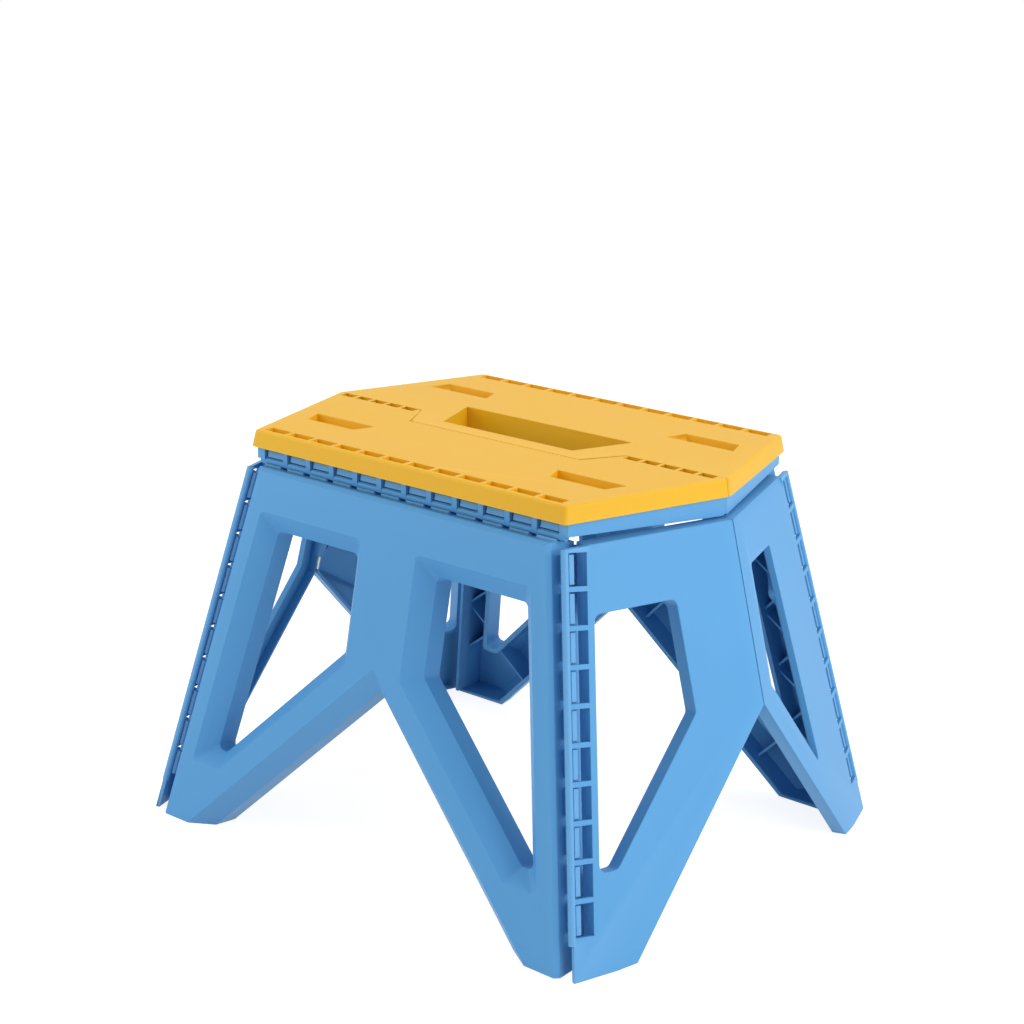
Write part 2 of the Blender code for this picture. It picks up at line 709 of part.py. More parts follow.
PARTING_Z = SEAT_HEIGHT - DECK_HEIGHT
FRAME_SEAM_Z = SEAT_HEIGHT - FRAME_SEAM_DROP
FRAME_EDGE_Z = SEAT_HEIGHT - FRAME_EDGE_DROP
FRAME_UNDER = FRAME_SEAM_Z - CUT_DEPTH
SCREW_SEAT_Z = FRAME_SEAM_Z + BOSS_LIFT
LADDER_FACE = LEG_AXIS_Y + RAIL_RADIUS


def half_outline(side):
    """Plan of one half at its rim, side -1 for front and 1 for rear, with its tongue or notch."""
    play = side * CLEARANCE / 2
    seam = play
    reach = -TONGUE_REACH + play
    front_half = TONGUE_FRONT_HALF - play
    back_half = TONGUE_BACK_HALF - play
    outer = [(SEAT_HALF_LENGTH, seam), (SEAT_EDGE_HALF_LENGTH, side * SEAT_HALF_DEPTH),
             (-SEAT_EDGE_HALF_LENGTH, side * SEAT_HALF_DEPTH), (-SEAT_HALF_LENGTH, seam)]
    inner = [(-back_half, seam), (-front_half, reach), (front_half, reach), (back_half, seam)]
    outline = outer + inner
    return outline if side > 0 else outline[::-1]


def half_inset(side, ends, seam_wall, long_wall):
    """The half's plan drawn in at its ends, at the seam and at its long edge."""
    distances = [ends, long_wall, ends] + [seam_wall] * 5
    if side < 0:
        distances = [seam_wall] * 4 + [ends, long_wall, ends] + [seam_wall]
    return [(p.x, p.y) for p in inset(half_outline(side), distances)]


def underside(points, side, drop=0.0):
    """A ring on the frame's sloping underside, lower at the seam than at the long edge."""
    rise = FRAME_EDGE_Z - FRAME_SEAM_Z
    return [Vector((x, y, FRAME_SEAM_Z + rise * side * y / SEAT_HALF_DEPTH - drop)) for x, y in points]


def hand_slot(grow):
    plan = ((-HAND_SLOT_FRONT_HALF, HAND_SLOT_FRONT_Y), (HAND_SLOT_FRONT_HALF, HAND_SLOT_FRONT_Y),
            (HAND_SLOT_BACK_HALF, HAND_SLOT_BACK_Y), (-HAND_SLOT_BACK_HALF, HAND_SLOT_BACK_Y))
    return [(p.x, p.y) for p in inset(plan, [-grow] * 4)]


def tread_slot(side, end, grow, z):
    middle = Vector((end * TREAD_SLOT_X, side * TREAD_SLOT_Y))
    half_long = TREAD_SLOT_LENGTH / 2 + grow
    half_wide = TREAD_SLOT_WIDTH / 2 + grow
    slant = -TREAD_SLOT_SLANT * side
    plan = ((-half_long + slant, -half_wide), (half_long - slant, -half_wide),
            (half_long + slant, half_wide), (-half_long - slant, half_wide))
    return level([(middle.x + x, middle.y + y) for x, y in plan], z)


def edge_slots(side):
    pitch = 2 * SEAT_LADDER_HALF / EDGE_SLOT_COUNT
    groups = []
    for i in range(EDGE_SLOT_COUNT):
        x = -SEAT_LADDER_HALF + pitch * (i + 0.5)
        y = side * (SEAT_HALF_DEPTH - EDGE_SLOT_INSET)
        low = (x - EDGE_SLOT_LENGTH / 2, y - EDGE_SLOT_WIDTH / 2, SEAT_HEIGHT - EDGE_SLOT_DEPTH)
        high = (x + EDGE_SLOT_LENGTH / 2, y + EDGE_SLOT_WIDTH / 2, SEAT_HEIGHT + OVERSHOOT)
        groups.append(box_rings(low, high))
    return lofts(groups)


def seam_slots():
    """Notches over the centre hinge, cut into the front cap's seam edge."""
    groups = []
    for end in (-1, 1):
        for i in range(SEAT_KNUCKLES):
            x = end * (SEAT_ROW_START + KNUCKLE_PITCH * (i + 0.5))
            low = (x - SEAM_SLOT_LENGTH / 2, -SEAM_SLOT_WIDTH, SEAT_HEIGHT - SEAM_SLOT_DEPTH)
            high = (x + SEAM_SLOT_LENGTH / 2, SEAM_SLOT_WIDTH, SEAT_HEIGHT + OVERSHOOT)
            groups.append(box_rings(low, high))
    return lofts(groups)


def screw_places(side):
    places = []
    for x, y in zip(SCREW_X, SCREW_Y):
        places += [(x, side * y), (-x, side * y)]
    return places


def posts(side, radius, low, high):
    return lofts([bar_rings((x, y, low), (x, y, high), radius, ROUND_SIDES)
                  for x, y in screw_places(side)])


def seat_ribs(side, low, high):
    """Walls along and across one half."""
    groups = []
    for i in range(-SEAT_RIB_BAYS, SEAT_RIB_BAYS + 1):
        x = i * SEAT_RIB_PITCH
        groups.append(rib_rings((x, 0), (x, side * SEAT_HALF_DEPTH), SEAT_RIB, low, high))
    return lofts(groups)


def slot_backing(side, near, far, depth):
    """Block that keeps the cap solid under a row of slots between two distances from the seam."""
    low_y, high_y = sorted((side * near, side * far))
    return loft(*box_rings((-BIG, low_y, SEAT_HEIGHT - depth - DECK_WALL), (BIG, high_y, SEAT_HEIGHT)))


def deck_mesh(side):
    deck = loft(level(half_outline(side), PARTING_Z),
                level(half_inset(side, DECK_DRAFT, 0, DECK_DRAFT), SEAT_HEIGHT))
    plan = half_inset(side, DECK_WALL, DECK_WALL, DECK_WALL)
    upper_wall = DECK_DRAFT + DECK_WALL
    hollow = loft(level(plan, PARTING_Z - OVERSHOOT),
                  level(half_inset(side, upper_wall, DECK_WALL, upper_wall), SEAT_HEIGHT - DECK_SKIN))
    hollow = cut(hollow, seat_ribs(side, FRAME_UNDER, SEAT_HEIGHT))
    slots_near = SEAT_HALF_DEPTH - EDGE_SLOT_INSET - EDGE_SLOT_WIDTH / 2 - DECK_WALL
    hollow = cut(hollow, slot_backing(side, slots_near, SEAT_HALF_DEPTH, EDGE_SLOT_DEPTH))
    for end in (-1, 1):
        low = SEAT_HEIGHT - TREAD_SLOT_DEPTH - DECK_WALL
        hollow = cut(hollow, loft(tread_slot(side, end, DECK_WALL, low),
                                  tread_slot(side, end, DECK_WALL, SEAT_HEIGHT)))
    hollow = cut(hollow, posts(side, BOSS_RADIUS, FRAME_UNDER, SEAT_HEIGHT))
    if side > 0:
        hollow = cut(hollow, loft(level(hand_slot(HAND_SLOT_LINER), FRAME_UNDER),
                                  level(hand_slot(HAND_SLOT_LINER), SEAT_HEIGHT)))
    else:
        hollow = cut(hollow, slot_backing(side, 0, SEAM_SLOT_WIDTH + DECK_WALL, SEAM_SLOT_DEPTH))
    deck = cut(deck, hollow)
    if side > 0:
        deck = join(deck, loft(level(hand_slot(HAND_SLOT_LINER), FRAME_SEAM_Z),
                               level(hand_slot(HAND_SLOT_LINER), PARTING_Z + OVERSHOOT)))
        deck = cut(deck, loft(level(hand_slot(0), FRAME_UNDER),
                              level(hand_slot(0), SEAT_HEIGHT + OVERSHOOT)))
    else:
        deck = cut(deck, seam_slots())
    for end in (-1, 1):
        deck = cut(deck, loft(tread_slot(side, end, 0, SEAT_HEIGHT - TREAD_SLOT_DEPTH),
                              tread_slot(side, end, OVERSHOOT, SEAT_HEIGHT + OVERSHOOT)))
    deck = cut(deck, edge_slots(side))
    screw_top = SCREW_SEAT_Z + SCREW_LENGTH + OVERSHOOT
    return cut(deck, posts(side, SCREW_BORE, FRAME_UNDER, screw_top)).data


def knuckle_rows(side, radius, extra, own):
    """Barrels of the seat's centre hinge that belong to one half, or to the other half."""
    groups = []
    for end in (-1, 1):
        for i in range(SEAT_KNUCKLES):
            belongs = (i % 2 == 0) == (side < 0)
            if belongs != own:
                continue
            x = end * (SEAT_ROW_START + KNUCKLE_PITCH * (i + 0.5))
            half = KNUCKLE_LENGTH / 2 + extra
            groups.append(bar_rings((x - half, 0, SEAT_AXIS_Z), (x + half, 0, SEAT_AXIS_Z), radius))
    return lofts(groups)


def ladder_windows(side):
    """Openings round the hooks: through the strip above the rail, and down behind it."""
    pitch = 2 * SEAT_LADDER_HALF / SEAT_WINDOWS
    half = (pitch - SEAT_RUNG_WIDTH) / 2
    outer = side * (SEAT_HALF_DEPTH + OVERSHOOT)
    inner = side * (LEG_AXIS_Y - SEAT_WINDOW_DEPTH)
    low_y, high_y = sorted((outer, inner))
    groups = []
    for i in range(SEAT_WINDOWS):
        x = -SEAT_LADDER_HALF + pitch * (i + 0.5)
        groups.append(box_rings((x - half, low_y, FRAME_UNDER), (x + half, high_y, SEAT_HEIGHT)))
    return lofts(groups)


def seat_ladder(side):
    """Rail along the long edge and the rungs that hold it."""
    pitch = 2 * SEAT_LADDER_HALF / SEAT_WINDOWS
    half = SEAT_RUNG_WIDTH / 2
    rail_y = side * LEG_AXIS_Y
    low_y, high_y = sorted((rail_y - side * RAIL_RADIUS, rail_y + side * RAIL_RADIUS))
    groups = [bar_rings((-SEAT_LADDER_HALF - half, rail_y, LEG_AXIS_Z),
                        (SEAT_LADDER_HALF + half, rail_y, LEG_AXIS_Z), RAIL_RADIUS, ROUND_SIDES)]
    for i in range(SEAT_WINDOWS + 1):
        x = -SEAT_LADDER_HALF + pitch * i
        groups.append(box_rings((x - half, low_y, LEG_AXIS_Z),
                                (x + half, high_y, PARTING_Z - CLEARANCE)))
    return groups


def frame_mesh(side):
    ladder_inset = SEAT_HALF_DEPTH - LADDER_FACE
    plan = half_inset(side, FRAME_LIP, 0, ladder_inset)
    frame = loft(underside(plan, side), level(plan, PARTING_Z - CLEARANCE))
    inner_plan = half_inset(side, FRAME_LIP + FRAME_WALL, FRAME_WALL,
                            ladder_inset + RAIL_RADIUS + SEAT_WINDOW_DEPTH + FRAME_WALL)
    hollow = loft(underside(inner_plan, side, OVERSHOOT),
                  level(inner_plan, PARTING_Z - CLEARANCE - FRAME_WALL))
    hollow = cut(hollow, seat_ribs(side, FRAME_UNDER, SEAT_HEIGHT))
    hollow = cut(hollow, posts(side, BOSS_RADIUS, SCREW_SEAT_Z, SEAT_HEIGHT))
    sleeve = HAND_SLOT_LINER + CLEARANCE
    if side > 0:
        hollow = cut(hollow, loft(level(hand_slot(sleeve + FRAME_WALL), FRAME_UNDER),
                                  level(hand_slot(sleeve + FRAME_WALL), SEAT_HEIGHT)))
    frame = cut(frame, hollow)
    if side > 0:
        frame = cut(frame, loft(level(hand_slot(sleeve), FRAME_UNDER),
                                level(hand_slot(sleeve), SEAT_HEIGHT)))
    frame = cut(frame, ladder_windows(side))
    for part in seat_ladder(side):
        frame = join(frame, loft(*part))
    frame = cut(frame, posts(side, SCREW_BORE, FRAME_UNDER, SEAT_HEIGHT))
    frame = join(frame, knuckle_rows(side, KNUCKLE_RADIUS, 0, True))
    frame = cut(frame, knuckle_rows(side, KNUCKLE_RELIEF, KNUCKLE_GAP / 2, False))
    bores = [bar_rings((end * (SEAT_ROW_START - OVERSHOOT), 0, SEAT_AXIS_Z),
                       (end * BIG, 0, SEAT_AXIS_Z), PIN_BORE)
             for end in (-1, 1)]
    return cut(frame, lofts(bores)).data


def screw_mesh():
    """Pan-head screw pointing up, origin under its head."""
    head = loft(*bar_rings((0, 0, 0), (0, 0, SCREW_HEAD_HEIGHT), SCREW_HEAD, ROUND_SIDES))
    shank = loft(*bar_rings((0, 0, OVERSHOOT), (0, 0, SCREW_HEAD_HEIGHT + SCREW_LENGTH),
                            SCREW_SHANK, ROUND_SIDES))
    return join(head, shank).data


def mirrored(mesh):
    """The same moulding for the other hand."""
    bm = bmesh.new()
    bm.from_mesh(mesh)
    bm.transform(Matrix.Diagonal((-1, 1, 1, 1)))
    bmesh.ops.reverse_faces(bm, faces=bm.faces)
    made = bpy.data.meshes.new("mirrored")
    bm.to_mesh(made)
    bm.free()
    return made


def place(name, mesh, matrix, finish):
    made = bpy.data.objects.new(name, mesh)
    bpy.context.collection.objects.link(made)
    made.matrix_world = matrix
    if not mesh.materials:
        mesh.materials.append(finish)
    return made


def frame_of(x_axis, y_axis, z_axis, origin):
    """Placement matrix from three axes and an origin."""
    turned = Matrix((x_axis, y_axis, z_axis)).transposed()
    return Matrix.Translation(origin) @ turned.to_4x4()


BLUE = material("blue_polypropylene", (0.13, 0.36, 0.70), 0.42)
YELLOW = material("yellow_polypropylene", (0.86, 0.50, 0.05), 0.42)
STEEL = material("zinc_steel", (0.62, 0.63, 0.65), 0.35, 1.0)

HALF_TURN = Matrix.Rotation(math.pi, 4, "Z")

leg_place = frame_of((1, 0, 0), (0, math.sin(TILT), math.cos(TILT)),
                     (0, -math.cos(TILT), math.sin(TILT)), (0, -LEG_AXIS_Y, LEG_AXIS_Z))
leg = leg_mesh()
place("leg_panel_front", leg, leg_place, BLUE)
place("leg_panel_rear", leg, HALF_TURN @ leg_place, BLUE)

plain_end = end_mesh(False)
mate_end = mirrored(end_mesh(True))
front_place = frame_of(END_ALONG, END_UP, END_OUT, CORNER)
flip = Vector((1, -1, 1))
rear_place = frame_of(END_ALONG * flip * -1, END_UP * flip, END_OUT * flip, CORNER * flip)
pin = mirrored(loft(*fold_bar(PIN_RADIUS, 0)).data)
place("end_panel_right_front", plain_end, front_place, BLUE)
place("end_panel_right_rear", mate_end, rear_place, BLUE)
place("end_panel_left_rear", plain_end, HALF_TURN @ front_place, BLUE)
place("end_panel_left_front", mate_end, HALF_TURN @ rear_place, BLUE)
place("fold_pin_right", pin, rear_place, STEEL)
place("fold_pin_left", pin, HALF_TURN @ rear_place, STEEL)

SEAT_AXIS = Vector((0, 0, SEAT_AXIS_Z))
for half_name, half_side in (("front", -1), ("rear", 1)):
    hinge = Vector((0, half_side * LEG_AXIS_Y, LEG_AXIS_Z))
    for piece, mesh, finish in (("deck_", deck_mesh(half_side), YELLOW),
                                ("seat_frame_", frame_mesh(half_side), BLUE)):
        mesh.transform(Matrix.Translation(-hinge))
        place(piece + half_name, mesh, Matrix.Translation(hinge), finish)
    screw = screw_mesh()
    for index, (screw_x, screw_y) in enumerate(screw_places(half_side)):
        seat = Vector((screw_x, screw_y, SCREW_SEAT_Z - SCREW_HEAD_HEIGHT - CLEARANCE))
        place(f"deck_screw_{half_name}_{index + 1}", screw, Matrix.Translation(seat), STEEL)

seat_pin = loft(*bar_rings((0, 0, 0), (SEAT_ROW_LENGTH, 0, 0), PIN_RADIUS)).data
for end_name, start_x in (("left", -SEAT_ROW_START - SEAT_ROW_LENGTH), ("right", SEAT_ROW_START)):
    start = SEAT_AXIS + Vector((start_x, 0, 0))
    place("seat_pin_" + end_name, seat_pin, Matrix.Translation(start), STEEL)

for spare in [o for o in bpy.data.objects if o.name.startswith("work")]:
    bpy.data.objects.remove(spare, do_unlink=True)
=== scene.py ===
"""Looks of the folding step stool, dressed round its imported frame.

Metres, +Z up, the front leg panel towards -Y. The sections follow the stool as it is put
together: leg panels, end panels, seat frames, seat caps, pins and screws, then the studio.
"""
import json
import math

import bmesh
import bpy
from mathutils import Matrix, Vector

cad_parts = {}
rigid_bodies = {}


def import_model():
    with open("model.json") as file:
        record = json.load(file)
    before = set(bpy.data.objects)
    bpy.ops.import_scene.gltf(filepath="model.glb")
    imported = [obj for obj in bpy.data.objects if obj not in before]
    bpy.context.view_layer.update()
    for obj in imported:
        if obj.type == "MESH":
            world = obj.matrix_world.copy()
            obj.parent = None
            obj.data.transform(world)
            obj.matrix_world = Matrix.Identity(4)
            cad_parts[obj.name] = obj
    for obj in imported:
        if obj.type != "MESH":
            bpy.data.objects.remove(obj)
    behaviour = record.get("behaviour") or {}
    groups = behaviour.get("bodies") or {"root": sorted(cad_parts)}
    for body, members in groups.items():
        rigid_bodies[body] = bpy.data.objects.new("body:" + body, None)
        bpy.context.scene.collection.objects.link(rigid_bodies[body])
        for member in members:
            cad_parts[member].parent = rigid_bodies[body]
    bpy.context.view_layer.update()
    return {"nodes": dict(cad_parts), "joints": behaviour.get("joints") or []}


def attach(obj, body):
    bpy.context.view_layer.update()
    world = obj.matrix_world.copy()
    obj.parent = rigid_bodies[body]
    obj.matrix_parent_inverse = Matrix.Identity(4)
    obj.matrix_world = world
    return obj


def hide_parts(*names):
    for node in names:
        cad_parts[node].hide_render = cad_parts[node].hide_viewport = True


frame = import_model()
joints = {joint["name"]: joint for joint in frame["joints"]}

# Leg panels
# Two identical injection-moulded shells in blue polypropylene, ribbed behind and open at the back.
# Hooks along the top clip to the seat's rails, and hooks down both sides to the end panels' rails.
PANEL_LEAN = math.radians(10.48)
LEG_FACE_STANDOFF = 0.0107
LEG_CHAMFER_DEPTH = 0.0028
LEG_SHOULDER_DEPTH = 0.011
LEG_SOFT_RADIUS = 0.0019
LEG_TOP_DROP = 0.0036
LEG_HOOK_REACH = 0.0088
HOOK_TOP_START = 0.0031
HOOK_SOFT_RADIUS = 0.0008
MERGE_REACH = 0.00002
SAME_PLANE = math.radians(0.8)
SHARP_EDGE = math.radians(18)
SMOOTH_LIMIT = math.radians(38)
SAME_DEPTH = 0.0002
SOFT_STEPS = 3
SMALL_STEPS = 2
BLUE = (0.098, 0.350, 0.68)
BLUE_DEEP = (0.086, 0.322, 0.64)
# Painted highlight: a paler blue laid on sharp convex edges, standing in for light catching them.
BLUE_EDGE_HIGHLIGHT = (0.20, 0.46, 0.76)
PLASTIC_ROUGHNESS = 0.46
PLASTIC_GLOSS = 0.3
POLISH_SPREAD = 0.06
DRIFT_SCALE = 14.0
DRIFT_DETAIL = 3.0
# Pointiness range over which the painted edge highlight fades in, and its largest share.
EDGE_HIGHLIGHT_START = 0.52
EDGE_HIGHLIGHT_FULL = 0.60
EDGE_HIGHLIGHT_SHARE = 0.35
GRAIN_SCALE = 1400.0
GRAIN_DETAIL = 2.0
GRAIN_STRENGTH = 0.12
GRAIN_DEPTH = 0.0002


def copy_moulding(node_name, piece_name):
    """A piece of its own from a frame node: triangles merged, flat faces made whole."""
    piece = bpy.data.objects.new(piece_name, frame["nodes"][node_name].data.copy())
    bpy.context.collection.objects.link(piece)
    piece.data.materials.clear()
    bpy.ops.object.select_all(action="DESELECT")
    piece.select_set(True)
    bpy.context.view_layer.objects.active = piece
    bpy.ops.object.mode_set(mode="EDIT")
    bpy.ops.mesh.select_all(action="SELECT")
    bpy.ops.mesh.remove_doubles(threshold=MERGE_REACH)
    bpy.ops.mesh.dissolve_limited(angle_limit=SAME_PLANE)
    bpy.ops.object.mode_set(mode="OBJECT")
    return piece


def round_edges(piece, wanted, radius, steps):
    """Round the sharp edges whose middle point the test picks."""
    bpy.ops.object.select_all(action="DESELECT")
    piece.select_set(True)
    bpy.context.view_layer.objects.active = piece
    bpy.ops.object.mode_set(mode="EDIT")
    bpy.ops.mesh.select_mode(type="EDGE")
    bpy.ops.mesh.select_all(action="DESELECT")
    mesh = bmesh.from_edit_mesh(piece.data)
    for edge in mesh.edges:
        middle = (edge.verts[0].co + edge.verts[1].co) / 2
        if edge.calc_face_angle(0) > SHARP_EDGE and wanted(middle):
            edge.select_set(True)
    bmesh.update_edit_mesh(piece.data)
    bpy.ops.mesh.bevel(offset=radius, segments=steps, profile=0.5, clamp_overlap=True)
    bpy.ops.object.mode_set(mode="OBJECT")


def finish_shading(piece):
    """Smooth the roundings and keep the flats flat."""
    bpy.ops.object.select_all(action="DESELECT")
    piece.select_set(True)
    bpy.context.view_layer.objects.active = piece
    bpy.ops.object.shade_smooth_by_angle(angle=SMOOTH_LIMIT)
    bpy.ops.object.modifier_add(type="WEIGHTED_NORMAL")
    piece.modifiers[-1].keep_sharp = True
    bpy.ops.object.modifier_apply(modifier=piece.modifiers[-1].name)


def moulded_plastic(name, colour, deep_colour, highlight_colour):
    """Satin polypropylene: slow colour drift, fine mould grain, and a painted highlight that lightens
    sharp edges.
    """
    made = bpy.data.materials.new(name)
    made.use_nodes = True
    nodes, links = made.node_tree.nodes, made.node_tree.links
    shader = nodes["Principled BSDF"]
    place = nodes.new("ShaderNodeTexCoord")
    drift = nodes.new("ShaderNodeTexNoise")
    drift.inputs["Scale"].default_value = DRIFT_SCALE
    drift.inputs["Detail"].default_value = DRIFT_DETAIL
    links.new(place.outputs["Object"], drift.inputs["Vector"])
    tint = nodes.new("ShaderNodeMix")
    tint.data_type = "RGBA"
    tint.inputs["A"].default_value = (*deep_colour, 1.0)
    tint.inputs["B"].default_value = (*colour, 1.0)
    links.new(drift.outputs["Fac"], tint.inputs["Factor"])
    # Painted highlight: pointiness lightens sharp convex edges with the paler colour, standing in for
    # light catching them.
    shape = nodes.new("ShaderNodeNewGeometry")
    edge = nodes.new("ShaderNodeMapRange")
    edge.inputs["From Min"].default_value = EDGE_HIGHLIGHT_START
    edge.inputs["From Max"].default_value = EDGE_HIGHLIGHT_FULL
    edge.inputs["To Max"].default_value = EDGE_HIGHLIGHT_SHARE
    links.new(shape.outputs["Pointiness"], edge.inputs["Value"])
    edge_highlight = nodes.new("ShaderNodeMix")
    edge_highlight.data_type = "RGBA"
    edge_highlight.inputs["B"].default_value = (*highlight_colour, 1.0)
    links.new(edge.outputs["Result"], edge_highlight.inputs["Factor"])
    links.new(tint.outputs["Result"], edge_highlight.inputs["A"])
    links.new(edge_highlight.outputs["Result"], shader.inputs["Base Color"])
    grain = nodes.new("ShaderNodeTexNoise")
    grain.inputs["Scale"].default_value = GRAIN_SCALE
    grain.inputs["Detail"].default_value = GRAIN_DETAIL
    links.new(place.outputs["Object"], grain.inputs["Vector"])
    polish = nodes.new("ShaderNodeMapRange")
    polish.inputs["To Min"].default_value = PLASTIC_ROUGHNESS - POLISH_SPREAD
    polish.inputs["To Max"].default_value = PLASTIC_ROUGHNESS + POLISH_SPREAD
    links.new(drift.outputs["Fac"], polish.inputs["Value"])
    links.new(polish.outputs["Result"], shader.inputs["Roughness"])
    bump = nodes.new("ShaderNodeBump")
    bump.inputs["Strength"].default_value = GRAIN_STRENGTH
    bump.inputs["Distance"].default_value = GRAIN_DEPTH
    links.new(grain.outputs["Fac"], bump.inputs["Height"])
    links.new(bump.outputs["Normal"], shader.inputs["Normal"])
    shader.inputs["Specular IOR Level"].default_value = PLASTIC_GLOSS
    return made


blue_plastic = moulded_plastic("blue_moulding", BLUE, BLUE_DEEP, BLUE_EDGE_HIGHLIGHT)

for node_name, body, hinge_name, outward_side in (
        ("leg_panel_front", "front_leg", "front_leg_hinge", -1),
        ("leg_panel_rear", "rear_leg", "rear_seat_hinge", 1)):
    panel = copy_moulding(node_name, node_name.replace("panel", "moulding"))
    outward = Vector((0, outward_side * math.cos(PANEL_LEAN), math.sin(PANEL_LEAN)))
    upward = Vector((0, -outward_side * math.sin(PANEL_LEAN), math.cos(PANEL_LEAN)))
    hinge = Vector(joints[hinge_name]["pos_m"])
    corners = [joint for joint in frame["joints"] if joint["parent"] == body
               and "corner" in joint["name"]]

    def clear_of_hooks(point):
        if (point - hinge).dot(upward) > -LEG_TOP_DROP + SAME_DEPTH:
            return False
        for joint in corners:
            axis = Vector(joint["axis"]).normalized()
            offset = point - Vector(joint["pos_m"])
            if (offset - axis * offset.dot(axis)).length < LEG_HOOK_REACH:
                return False
        return True

    def face_edge(point):
        depth = LEG_FACE_STANDOFF - (point - hinge).dot(outward)
        on_chamfer = depth < LEG_CHAMFER_DEPTH + SAME_DEPTH
        on_shoulder = abs(depth - LEG_SHOULDER_DEPTH) < SAME_DEPTH
        return (on_chamfer or on_shoulder) and clear_of_hooks(point)

    def hook_tip(point):
        return (point - hinge).dot(upward) > HOOK_TOP_START

    round_edges(panel, face_edge, LEG_SOFT_RADIUS, SOFT_STEPS)
    round_edges(panel, hook_tip, HOOK_SOFT_RADIUS, SMALL_STEPS)
    finish_shading(panel)
    panel.data.materials.append(blue_plastic)
    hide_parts(node_name)
    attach(panel, body)

# End panels
# Four blue shells in two mirrored pairs. Each has a ladder of windows on its corner edge, whose rail
# sits in the leg's hooks, one large opening, and a mitred fold edge that meets its neighbour.
END_SOFT_RADIUS = 0.0011
END_WINDOW_RADIUS = 0.0005
END_BAND_DEPTH = 0.0018
END_LADDER_WIDTH = 0.0155
END_RAIL_REACH = 0.0030
for node_name, body in (("end_panel_right_front", "right_front_end"),
                        ("end_panel_right_rear", "right_rear_end"),
                        ("end_panel_left_front", "left_front_end"),
                        ("end_panel_left_rear", "left_rear_end")):
    panel = copy_moulding(node_name, node_name.replace("panel", "moulding"))
    corner_joint = joints[body.replace("_end", "_corner_hinge")]
    corner = Vector(corner_joint["pos_m"])
    corner_axis = Vector(corner_joint["axis"]).normalized()
    facet = max(panel.data.polygons, key=lambda face: face.area * (face.normal.x * corner.x > 0))
    outward = facet.normal.copy()
    face_level = facet.center.dot(outward)

    def from_axis(point):
        offset = point - corner
        return (offset - corner_axis * offset.dot(corner_axis)).length

    def shell_edge(point):
        near_face = face_level - point.dot(outward) < END_BAND_DEPTH
        return near_face and from_axis(point) > END_LADDER_WIDTH

    def window_edge(point):
        near_face = face_level - point.dot(outward) < END_BAND_DEPTH
        return near_face and END_RAIL_REACH < from_axis(point) < END_LADDER_WIDTH

    round_edges(panel, shell_edge, END_SOFT_RADIUS, SOFT_STEPS)
    round_edges(panel, window_edge, END_WINDOW_RADIUS, SMALL_STEPS)
    finish_shading(panel)
    panel.data.materials.append(blue_plastic)
    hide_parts(node_name)
    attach(panel, body)

# Seat frames
# Blue ribbed frames under the caps. The long edge is a ladder whose rail turns in the leg's hooks,
# and barrels along the centre carry the seat's own hinge pins.
FRAME_SOFT_RADIUS = 0.0005
FRAME_RIM_REACH = 0.0035
SAME_LEVEL = 0.0001


def outline_test(cap_name, reach):
    """A test that picks points near the outline of a seat half, whose ends taper."""
    spots = [vertex.co for vertex in frame["nodes"][cap_name].data.vertices]
    half_length = max(abs(spot.x) for spot in spots)
    half_depth = max(abs(spot.y) for spot in spots)
    edge_half = max(abs(spot.x) for spot in spots if half_depth - abs(spot.y) < SAME_LEVEL)
    end_run = math.hypot(half_depth, half_length - edge_half)

    def near(point):
        end_gap = (half_length - abs(point.x)) * half_depth - abs(point.y) * (half_length - edge_half)
        return min(end_gap / end_run, half_depth - abs(point.y)) < reach

    return near


for node_name, body in (("seat_frame_front", "front_half"), ("seat_frame_rear", "rear_half")):
    seat_frame = copy_moulding(node_name, node_name.replace("frame", "moulding"))
    frame_rim = outline_test(node_name.replace("seat_frame", "deck"), FRAME_RIM_REACH)
    round_edges(seat_frame, frame_rim, FRAME_SOFT_RADIUS, SMALL_STEPS)
    finish_shading(seat_frame)
    seat_frame.data.materials.append(blue_plastic)
    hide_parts(node_name)
    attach(seat_frame, body)

# Seat caps
# Yellow tread caps of the same plastic, screwed to the frames from below. The rear one carries the
# hand slot, and its grip bar reaches across the seam into the front one.
YELLOW = (0.80, 0.445, 0.012)
YELLOW_DEEP = (0.77, 0.415, 0.009)
# Painted highlight: a paler yellow laid on the caps' sharp convex edges, standing in for light
# catching them.
YELLOW_EDGE_HIGHLIGHT = (0.88, 0.54, 0.06)
CAP_EDGE_RADIUS = 0.0022
CAP_EDGE_STEPS = 4
CAP_RIM_RADIUS = 0.0006
CAP_SLOT_RADIUS = 0.0007
CAP_RIM_REACH = 0.0026
SEAM_RADIUS = 0.0010
SEAM_BACK_HALF = 0.0905
SEAM_FRONT_HALF = 0.0750
SEAM_REACH = 0.0290
SEAM_NEAR = 0.0016
yellow_plastic = moulded_plastic("yellow_moulding", YELLOW, YELLOW_DEEP, YELLOW_EDGE_HIGHLIGHT)

